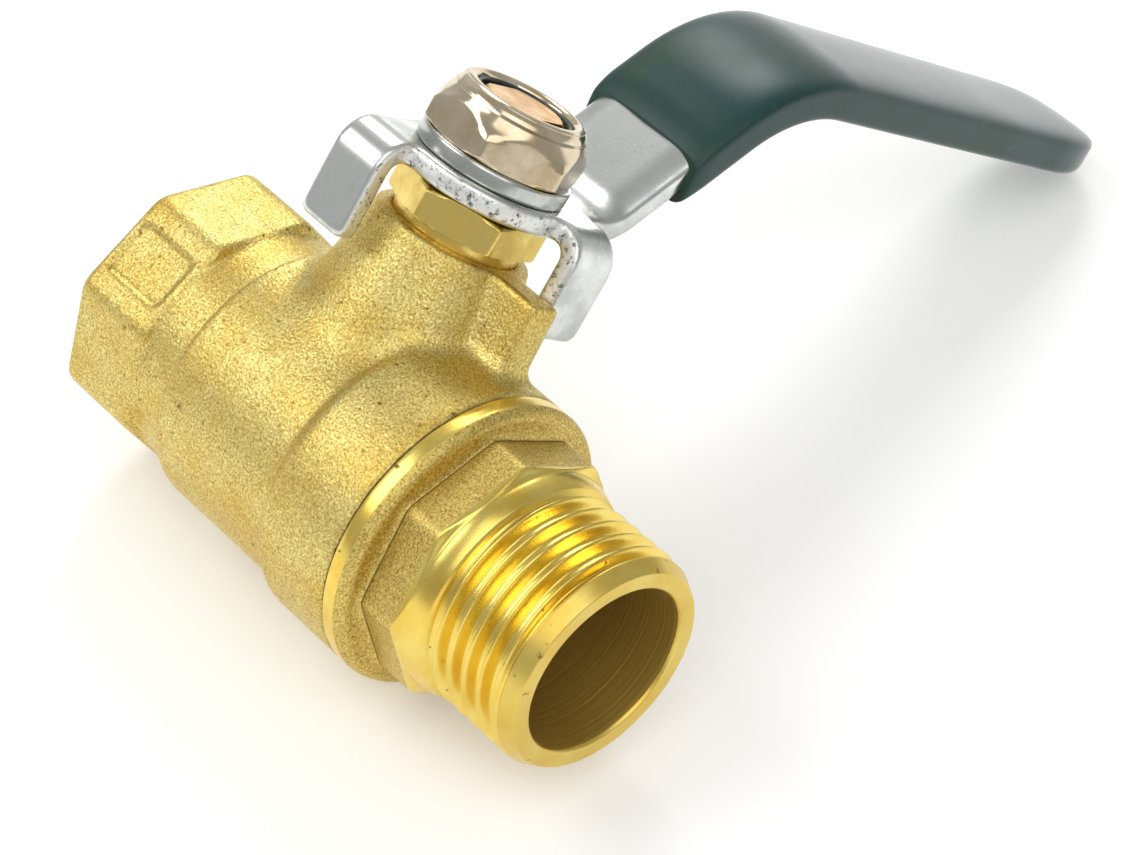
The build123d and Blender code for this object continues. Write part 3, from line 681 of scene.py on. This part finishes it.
ring_piece("gland_hexagon", [
    (17.25, 4.47, 0.1), (17.25, 5.9, 0.2), (21.55, 5.9, 0.1), (21.6, 6.3, 0.1), (21.75, 7.0, 0.2),
    (24.2, 7.1, 0.2), (24.6, 6.2, 0.3), (24.6, 4.47, 0.2),
], GLAND, "valve", ["gland_nut"], (12.2, 6, 35.0, 7.15))
ring_piece("plain_washer", [
    (27.0, 4.06, 0.15), (27.0, 7.0, 0.35), (28.6, 7.0, 0.35), (28.6, 4.06, 0.15),
], WASHER, "handle", ["lever_washer"])
ring_piece("locking_nut", [
    (28.6, 4.06, 0.1), (28.6, 6.6, 0.25), (29.15, 7.6, 0.4), (30.3, 7.75, 0.6), (32.0, 6.4, 0.9),
    (33.3, 5.95, 0.5), (33.8, 5.4, 0.3), (33.8, 4.85, 0.25), (33.45, 4.52, 0.2), (31.35, 4.5, 0.1),
    (31.3, 4.06, 0.1),
], NICKEL, "handle", ["lock_nut"], (12.9, 6, 55.5, 7.6))
ring_piece("nylon_insert", [
    (31.4, 4.03, 0.1), (31.4, 4.48, 0.1), (33.45, 4.48, 0.15), (33.3, 4.12, 0.15),
], NYLON, "handle", ["lock_nut_insert"])


# Lever

SHEET_HALF, HUB_R, HOLE_R, STRAP_HALF = 1.0, 8.0, 4.1, 6.2
TAB_HALF, TAB_LOW = 2.7, 17.3
LEVER_MID, EAR_IN, EAR_R, EAR_MID = 26.0, 8.0, 2.2, 4.6
SLOPE = np.radians(49)
RISE_DIR = np.array([np.cos(SLOPE), np.sin(SLOPE)])
FOOT_R, KNEE_R, STRAP_MID = 6.0, 16.0, 43.3
GRIP_TIP, TAPER = 82.3, 0.016
# The plate's and the rise's middle sheets would meet at FOOT_CORNER; the foot bend starts at FOOT_Y
FOOT_CORNER = 10.604 + np.tan(SLOPE / 2)
FOOT_Y = FOOT_CORNER - FOOT_R * np.tan(SLOPE / 2)
FOOT_END = np.array([FOOT_Y + FOOT_R * np.sin(SLOPE), LEVER_MID + FOOT_R * (1 - np.cos(SLOPE))])
RISE_TOP = STRAP_MID - KNEE_R * (1 - np.cos(SLOPE))
RISE_LENGTH = (RISE_TOP - FOOT_END[1]) / RISE_DIR[1]
KNEE_Y = FOOT_END[0] + RISE_LENGTH * RISE_DIR[0] + KNEE_R * np.sin(SLOPE)
LEVER_STEP = 0.28


def above_strap(y, z):
    """Height above the strap's middle sheet: flat, round the foot bend, up the rise, round the knee, flat."""
    foot = FOOT_R - np.hypot(y - FOOT_Y, z - LEVER_MID - FOOT_R)
    run = (y - FOOT_END[0]) * RISE_DIR[0] + (z - FOOT_END[1]) * RISE_DIR[1]
    rise = (z - FOOT_END[1]) * RISE_DIR[0] - (y - FOOT_END[0]) * RISE_DIR[1]
    knee = np.hypot(y - KNEE_Y, z - STRAP_MID + KNEE_R) - KNEE_R
    height = np.where(y < FOOT_Y, z - LEVER_MID, np.where(run < 0, foot, rise))
    height = np.where((run > RISE_LENGTH) & (y > FOOT_Y), knee, height)
    return np.where(y > KNEE_Y, z - STRAP_MID, height)


def off_ear(out, z):
    """Distance from an ear's middle sheet: flat, a quarter bend, then straight down."""
    bend = np.abs(np.hypot(out - EAR_IN, z - LEVER_MID + EAR_R) - EAR_R)
    return np.where(z < LEVER_MID - EAR_R, np.abs(out - EAR_IN - EAR_R), bend)


def lever_fields(x, y, z):
    """Two fields of the pressed lever: off the sheet's faces, and off its outline.

    The sheet follows the strap, whose edges roll down by a parabola, or the two ears. The outline joins a
    round hub, two tabs and the strap with soft inner corners.
    """
    side = x - STEM_X
    roll = 0.1 * np.clip(np.abs(side) - 3.2, 0, None) ** 2 * np.clip((y - 7.0) / 5.0, 0, 1)
    sheet = np.abs(above_strap(y, z) + roll)
    sheet = np.where(side > EAR_IN, off_ear(side, z), sheet)
    sheet = np.where(y < -EAR_IN, off_ear(-y, z), sheet) - SHEET_HALF
    hub = np.hypot(side, y) - HUB_R
    left_tab = soft_max(np.maximum(np.abs(side + EAR_MID) - TAB_HALF, y), TAB_LOW - z, 1.0)
    right_tab = soft_max(np.maximum(np.abs(y - EAR_MID) - TAB_HALF, -side), TAB_LOW - z, 1.0)
    half = STRAP_HALF - TAPER * np.clip(y - KNEE_Y, 0, None)
    strap = soft_max(np.maximum(np.abs(side) - half, -y), y - GRIP_TIP + 1.2, 7.0)
    outline = soft_min(soft_min(soft_min(hub, left_tab, 1.4), right_tab, 1.4), strap, 2.0)
    return sheet, outline


def pressed_lever(x, y, z):
    """Field of the lever: sheet and outline together with rounded edges, less the hole for the stud."""
    sheet, outline = lever_fields(x, y, z)
    hole = HOLE_R - np.hypot(x - STEM_X, y)
    return np.maximum(soft_max(sheet, outline, 0.55), hole)


points, quads = skin_of(pressed_lever, (14.0, -12.2, 16.4), (35.2, 83.4, 45.4), LEVER_STEP)
sheet, outline = lever_fields(*points.T)
# Sheared metal is where the outline, not a face, bounds the plate and its ears
sheared = np.clip((outline - sheet + 0.1) / 0.35, 0, 1) * (points[:, 1] < 9)
make_piece("pressed_lever", points, quads, ZINC, "handle", ["lever"], {"sheared": sheared})


# Grip

# Start of the grip along the rise, from the end of the foot bend
GRIP_FROM = 8.6 - FOOT_R * np.tan(SLOPE / 2) + np.tan(SLOPE / 2)
GRIP_HALF, GRIP_OVER, GRIP_UNDER, CROWN = 7.1, 1.9, 2.4, 0.009
SQUARE, TIP_RUN, GRIP_COLUMNS = 6.0, 11.0, 144
# Lean of the bath's level as a share of the rise's slope, the length over which it fades out,
# and the height above the sheet at which the grip starts at GRIP_FROM
BATH_LEAN, BATH_RUN, BATH_LEVEL = 0.75, 9.0, 0.2
# Place from the start, and shares of the full width, thickness above and thickness below
LIP = np.array([
    (0.2, 0.0, 0.0, 0.0), (0.12, 0.88, 0.56, 0.86), (0.0, 0.94, 0.63, 0.93), (0.05, 0.96, 0.68, 0.96),
    (0.25, 0.975, 0.75, 0.98), (0.7, 0.985, 0.85, 1.0), (1.4, 0.995, 0.94, 1.0), (2.2, 1.0, 0.99, 1.0),
])


def strap_place(s):
    """Point and upward direction of the strap's middle sheet, s along it from the foot of the rise."""
    knee_s, end_s = RISE_LENGTH, RISE_LENGTH + KNEE_R * SLOPE
    turn = SLOPE - np.clip((s - knee_s) / KNEE_R, 0, SLOPE)
    y = FOOT_END[0] + np.minimum(s, knee_s) * RISE_DIR[0] + KNEE_R * (np.sin(SLOPE) - np.sin(turn))
    z = FOOT_END[1] + np.minimum(s, knee_s) * RISE_DIR[1] + KNEE_R * (np.cos(turn) - np.cos(SLOPE))
    return y + np.clip(s - end_s, 0, None), z, -np.sin(turn), np.cos(turn)


def vinyl_sleeve():
    """Grip as a superellipse of power 6 carried along the strap, 1.9 mm above the sheet and 2.4 below.

    At its start it closes inwards to the steel, thin above and full below, along a line tilted as the bath
    stood when the lever was dipped tip first; the tilt fades out over 9 mm. It narrows with the strap, and
    over its last 11 mm its width falls along an ellipse quarter and its depth along a fuller one.
    """
    length = GRIP_TIP - KNEE_Y + RISE_LENGTH + KNEE_R * SLOPE
    middle = np.linspace(3.0, length - GRIP_FROM - TIP_RUN, 110)
    tail = length - GRIP_FROM - TIP_RUN * (1 - np.sin(np.linspace(0, np.pi / 2, 30)[1:]))
    s = GRIP_FROM + np.concatenate([LIP[:, 0], middle, tail])
    whole = np.ones(len(s) - len(LIP))
    wide, over, under = (np.concatenate([share, whole]) for share in LIP.T[1:])
    ahead = np.clip((s - length + TIP_RUN) / TIP_RUN, 0, 1)
    taper = TAPER * np.clip(s - RISE_LENGTH - KNEE_R * SLOPE, 0, None)
    width = wide * (GRIP_HALF - taper) * (1 - ahead ** 2.3) ** (1 / 2.3)
    depth = (1 - ahead ** 4) ** (1 / 2.2)
    above, below = GRIP_OVER * over * depth, GRIP_UNDER * under * depth
    turn = np.linspace(0, 2 * np.pi, GRIP_COLUMNS, endpoint=False)[None, :]
    c, q = np.cos(turn), np.sin(turn)
    across = width[:, None] * np.sign(c) * np.abs(c) ** (2 / SQUARE)
    height = np.where(q > 0, above[:, None], below[:, None]) * np.sign(q) * np.abs(q) ** (2 / SQUARE)
    bath = BATH_LEAN * np.tan(SLOPE) * np.clip(1 - (s - GRIP_FROM) / BATH_RUN, 0, 1)
    y, z, up_y, up_z = strap_place(s[:, None] + bath[:, None] * (height - BATH_LEVEL))
    height = height - CROWN * across ** 2
    grid = np.stack([STEM_X + across, y + up_y * height, z + up_z * height], axis=-1)
    return grid.reshape(-1, 3), quad_grid(len(s), GRIP_COLUMNS)


points, quads = vinyl_sleeve()
make_piece("vinyl_grip", points, quads, VINYL, "handle", ["grip_sleeve"], weld=True)


# Carried-over CAD pieces

CARRIED = {
    "ball": CHROME, "stem": STUD, "seat_ring_inlet": PTFE, "seat_ring_outlet": PTFE,
    "thrust_washer": PTFE, "packing_ring": PTFE,
}
for node_name, material in CARRIED.items():
    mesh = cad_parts[node_name].data
    mesh.materials.clear()
    mesh.materials.append(material)


# Table, light and camera

# The table is tilted about the pipe and lies this far below the pipe's axis
TILT, TABLE_DROP, TABLE_HALF = np.radians(35), 14.05, 1500
TABLE_UP = np.array([0.0, -np.sin(TILT), np.cos(TILT)])
# Axes and place of the camera fitted to the photograph, and its focal length in pixels of the frame's width
CAMERA_RIGHT = np.array([0.6492479, 0.5915560, 0.4780572])
CAMERA_DOWN = np.array([0.5478913, 0.0721979, -0.8334282])
CAMERA_AHEAD = np.array([-0.5275342, 0.8030249, -0.2772341])
CAMERA_PLACE = np.array([211.2809, -256.2492, 102.4874])
FOCAL_PIXELS, FRAME_PIXELS, SENSOR_MM = 3879.877, 1140, 36.0
# Away from the camera along the table, and the middle of the lit backdrop beyond it
TABLE_FAR = CAMERA_AHEAD - (CAMERA_AHEAD @ TABLE_UP) * TABLE_UP
TABLE_FAR = TABLE_FAR / np.linalg.norm(TABLE_FAR)
BACKDROP = (0.4 * TABLE_UP + 0.92 * TABLE_FAR) / np.hypot(0.4, 0.92)
# Where the lights look, in metres, and what the paper adds to its own white for the camera and mirrors
LIT_SPOT = np.array([0.026, 0.01, 0.015])
PAPER_LIFT = 0.22


def white_table():
    """White paper below the valve, seen from above only; it stays white to the camera and in reflections."""
    material, tree, output, _ = start_material("white_paper")
    rays = add_node(tree, "ShaderNodeLightPath").outputs
    mirrored = add_node(tree, "ShaderNodeMath", {
        0: rays["Is Glossy Ray"], 1: rays["Is Transmission Ray"],
    }, operation="ADD")
    seen = add_node(tree, "ShaderNodeMath", {
        0: mirrored.outputs[0], 1: rays["Is Camera Ray"],
    }, operation="ADD")
    lift = add_node(tree, "ShaderNodeMath", {0: seen.outputs[0], 1: PAPER_LIFT}, operation="MULTIPLY")
    paper = add_node(tree, "ShaderNodeBsdfPrincipled", {
        "Base Color": linear("#F4F4F3"), "Roughness": 1.0, "Specular IOR Level": 0.0,
        "Emission Color": (1, 1, 1, 1), "Emission Strength": lift.outputs[0],
    })
    clear = add_node(tree, "ShaderNodeBsdfTransparent")
    behind = add_node(tree, "ShaderNodeNewGeometry").outputs["Backfacing"]
    shader = add_node(tree, "ShaderNodeMixShader", {0: behind, 1: paper.outputs[0], 2: clear.outputs[0]})
    tree.links.new(shader.outputs[0], output.inputs[0])
    middle = TABLE_UP * -TABLE_DROP + np.array([STEM_X, 0, 0])
    along = np.array([1.0, 0, 0])
    side = np.cross(TABLE_UP, along)
    signs = ((-1, -1), (1, -1), (1, 1), (-1, 1))
    corners = np.array([middle + TABLE_HALF * (a * along + b * side) for a, b in signs])
    mesh = bpy.data.meshes.new("table")
    mesh.from_pydata((corners * MM).tolist(), [], [(0, 1, 2, 3)])
    mesh.materials.append(material)
    table = bpy.data.objects.new("table", mesh)
    bpy.context.scene.collection.objects.link(table)


def studio_walls():
    """World of plain grey walls, a little brighter towards the backdrop and below the table's level."""
    world = bpy.data.worlds.new("studio")
    bpy.context.scene.world = world
    world.use_nodes = True
    tree = world.node_tree
    tree.nodes.clear()
    direction = add_node(tree, "ShaderNodeTexCoord").outputs["Generated"]
    towards = add_node(tree, "ShaderNodeVectorMath", {
        0: direction, 1: tuple(BACKDROP),
    }, operation="DOT_PRODUCT")
    glow = add_node(tree, "ShaderNodeMapRange", {
        "Value": towards.outputs["Value"], "From Min": 0.66, "From Max": 0.96, "To Min": 0.42, "To Max": 0.6,
    }, interpolation_type="SMOOTHSTEP")
    height = add_node(tree, "ShaderNodeVectorMath", {
        0: direction, 1: tuple(TABLE_UP),
    }, operation="DOT_PRODUCT")
    below = add_node(tree, "ShaderNodeMapRange", {
        "Value": height.outputs["Value"], "From Min": 0.0, "From Max": -0.3, "To Min": 0.0, "To Max": 0.5,
    }, interpolation_type="SMOOTHSTEP")
    level = add_node(tree, "ShaderNodeMath", {0: glow.outputs[0], 1: below.outputs[0]}, operation="ADD")
    walls = add_node(tree, "ShaderNodeBackground", {"Color": (1, 1, 1, 1), "Strength": level.outputs[0]})
    add_node(tree, "ShaderNodeOutputWorld", {0: walls.outputs[0]})


def facing(place, away):
    """Matrix at a place whose -Z looks against the direction away."""
    helper = np.array([0.0, 0.0, 1.0]) if abs(away[2]) < 0.95 else np.array([0.0, 1.0, 0.0])
    right = np.cross(helper, away)
    right = right / np.linalg.norm(right)
    up = np.cross(away, right)
    return Matrix([[right[i], up[i], away[i], place[i]] for i in range(3)] + [[0, 0, 0, 1]])


def soft_box(name, direction, distance, size, power):
    """A square soft light that looks at the valve from a direction given in the CAD frame."""
    data = bpy.data.lights.new(name, "AREA")
    data.shape, data.size, data.energy = "SQUARE", size, power
    light = bpy.data.objects.new(name, data)
    away = np.array(direction, float) / np.linalg.norm(direction)
    light.matrix_world = facing(LIT_SPOT + away * distance, away)
    bpy.context.scene.collection.objects.link(light)


white_table()
studio_walls()
soft_box("back_light", (-0.53, 0.1, 0.84), 0.7, 0.26, 1.5)
soft_box("left_window", -CAMERA_RIGHT + TABLE_UP * 1.05, 0.8, 0.5, 2.1)
soft_box("front_fill", -CAMERA_AHEAD + TABLE_UP * 0.2 + CAMERA_RIGHT * 0.2, 0.9, 0.9, 3.2)

lens = bpy.data.cameras.new("photo_camera")
lens.sensor_width = SENSOR_MM
lens.lens = FOCAL_PIXELS / FRAME_PIXELS * SENSOR_MM
lens.clip_start = 0.01
camera = bpy.data.objects.new("photo_camera", lens)
axes = np.stack([CAMERA_RIGHT, -CAMERA_DOWN, -CAMERA_AHEAD], axis=1)
camera.matrix_world = Matrix([[*axes[i], CAMERA_PLACE[i] * MM] for i in range(3)] + [[0, 0, 0, 1]])
bpy.context.scene.collection.objects.link(camera)
bpy.context.scene.camera = camera
bpy.context.scene.view_settings.view_transform = "Standard"
